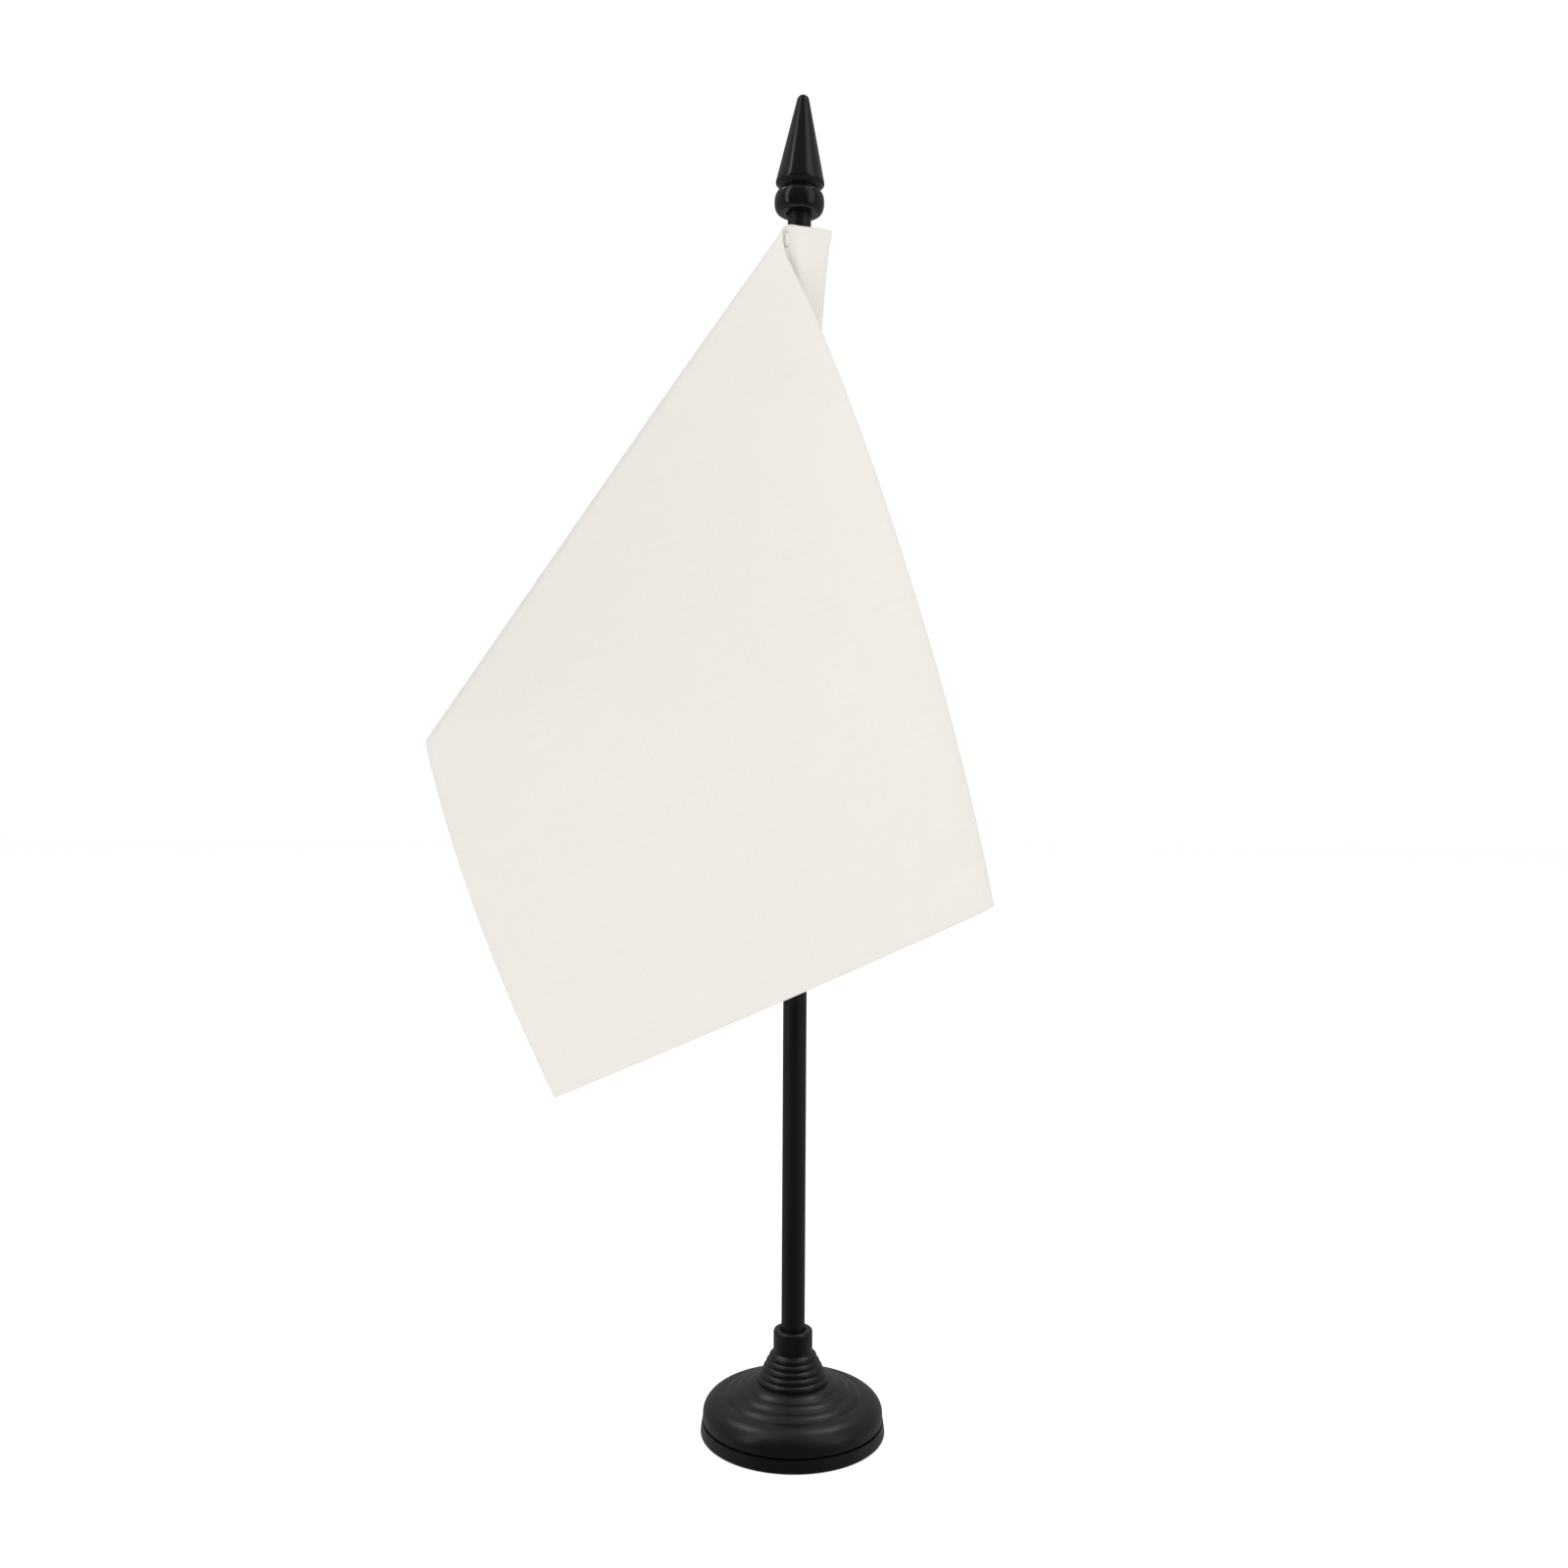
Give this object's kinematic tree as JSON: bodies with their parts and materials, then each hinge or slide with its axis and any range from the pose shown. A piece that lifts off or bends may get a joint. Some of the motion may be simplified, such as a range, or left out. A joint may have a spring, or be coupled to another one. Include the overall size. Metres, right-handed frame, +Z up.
{
  "type": "desk flag stand",
  "caption": "Small cloth flag on a slim rod with a pointed finial, standing in a round stepped black plastic base.",
  "frame": {"origin": "middle of the base's underside, on the rod's axis", "axes": "+Z up along the rod; the flag's front layer faces -Y and its fold is at -X"},
  "size_m": [0.1557, 0.0506, 0.3684],
  "materials": {
    "base_plastic": "satin black moulded plastic with soft highlights",
    "pole_plastic": "matt black extruded plastic",
    "finial_plastic": "glossy black moulded plastic",
    "ballast_steel": "plain turned steel, hidden inside the base",
    "flag_cloth": "plain off-white woven polyester with clean cut edges",
    "thread": "off-white sewing thread"
  },
  "bodies": {
    "base": {"base_plate": "base_plastic", "base_shell": "base_plastic", "ballast_disc": "ballast_steel"},
    "pole": {"pole": "pole_plastic"},
    "finial": {"finial": "finial_plastic"},
    "flag": {"flag_panel": "flag_cloth", "flag_sleeve": "flag_cloth", "seam_thread": "thread"}
  },
  "joints": [
    {"name": "pole_pull", "type": "slide", "parent": "base", "child": "pole", "axis": [0, 0, 1], "range_m": [0, 0.03]},
    {"name": "finial_pull", "type": "slide", "parent": "pole", "child": "finial", "axis": [0, 0, 1], "range_m": [0, 0.015]},
    {"name": "flag_turn", "type": "hinge", "parent": "pole", "child": "flag", "pos_m": [0, 0, 0.262], "axis": [0, 0, 1], "continuous": true}
  ]
}
